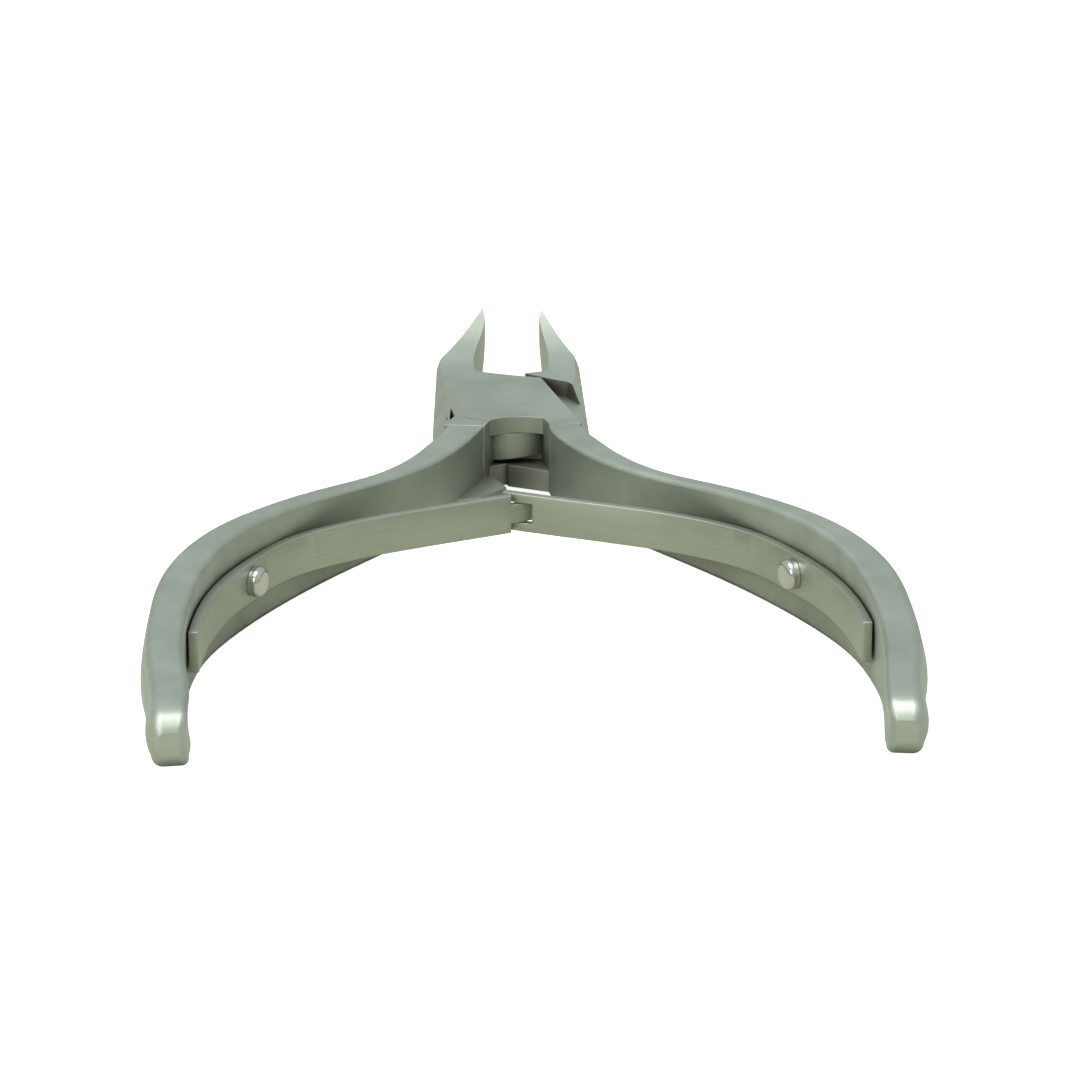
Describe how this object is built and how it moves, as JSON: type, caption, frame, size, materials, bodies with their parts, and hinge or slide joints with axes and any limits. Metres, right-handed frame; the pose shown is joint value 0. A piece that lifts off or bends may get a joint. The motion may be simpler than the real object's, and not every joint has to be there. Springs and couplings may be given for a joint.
{
  "type": "cuticle nipper",
  "caption": "Cuticle nipper with pointed upswept jaws, a lap box joint, bowed handles and a pair of interlocking leaf springs that hold it open",
  "frame": {"origin": "where the pivot axis meets the lower flat face of the joint", "axes": "+Z along the pivot axis, up through the joint towards the side that the jaw tips rise to; +Y from the handles to the jaw tips, along the middle line of the open tool; +X to the side of the female half's handle"},
  "size_m": [0.0638, 0.0999, 0.0122],
  "materials": {
    "satin_steel": "fine blasted satin stainless steel",
    "pin_steel": "ground flush with the joint",
    "spring_steel": "rolled satin spring steel",
    "polished_rivet": "polished stainless steel"
  },
  "bodies": {
    "female_body": {"female_half": "satin_steel", "pivot_pin": "pin_steel", "right_spring_rivet": "polished_rivet"},
    "male_body": {"male_half": "satin_steel", "left_spring_rivet": "polished_rivet"},
    "right_leaf_body": {"right_leaf_spring": "spring_steel"},
    "left_leaf_body": {"left_leaf_spring": "spring_steel"}
  },
  "joints": [
    {"name": "squeeze", "type": "hinge", "parent": "female_body", "child": "male_body", "pos_m": [0, 0, 0], "axis": [0, 0, 1], "range_deg": [0, 18], "stiffness_Nm_per_rad": 0.5, "springref_deg": -11.46},
    {"name": "right_leaf_bend", "type": "hinge", "parent": "female_body", "child": "right_leaf_body", "pos_m": [0.0207, -0.0372, 0.00335], "axis": [0, 0, 1], "range_deg": [-13.5, 0], "deforming": ["right_leaf_spring"]},
    {"name": "left_leaf_bend", "type": "hinge", "parent": "male_body", "child": "left_leaf_body", "pos_m": [-0.0207, -0.0372, 0.00335], "axis": [0, 0, 1], "range_deg": [0, 13.5], "deforming": ["left_leaf_spring"]}
  ],
  "couplings": [
    {"joint": "right_leaf_bend", "follows": "squeeze", "ratio": -0.73},
    {"joint": "left_leaf_bend", "follows": "squeeze", "ratio": 0.73}
  ]
}
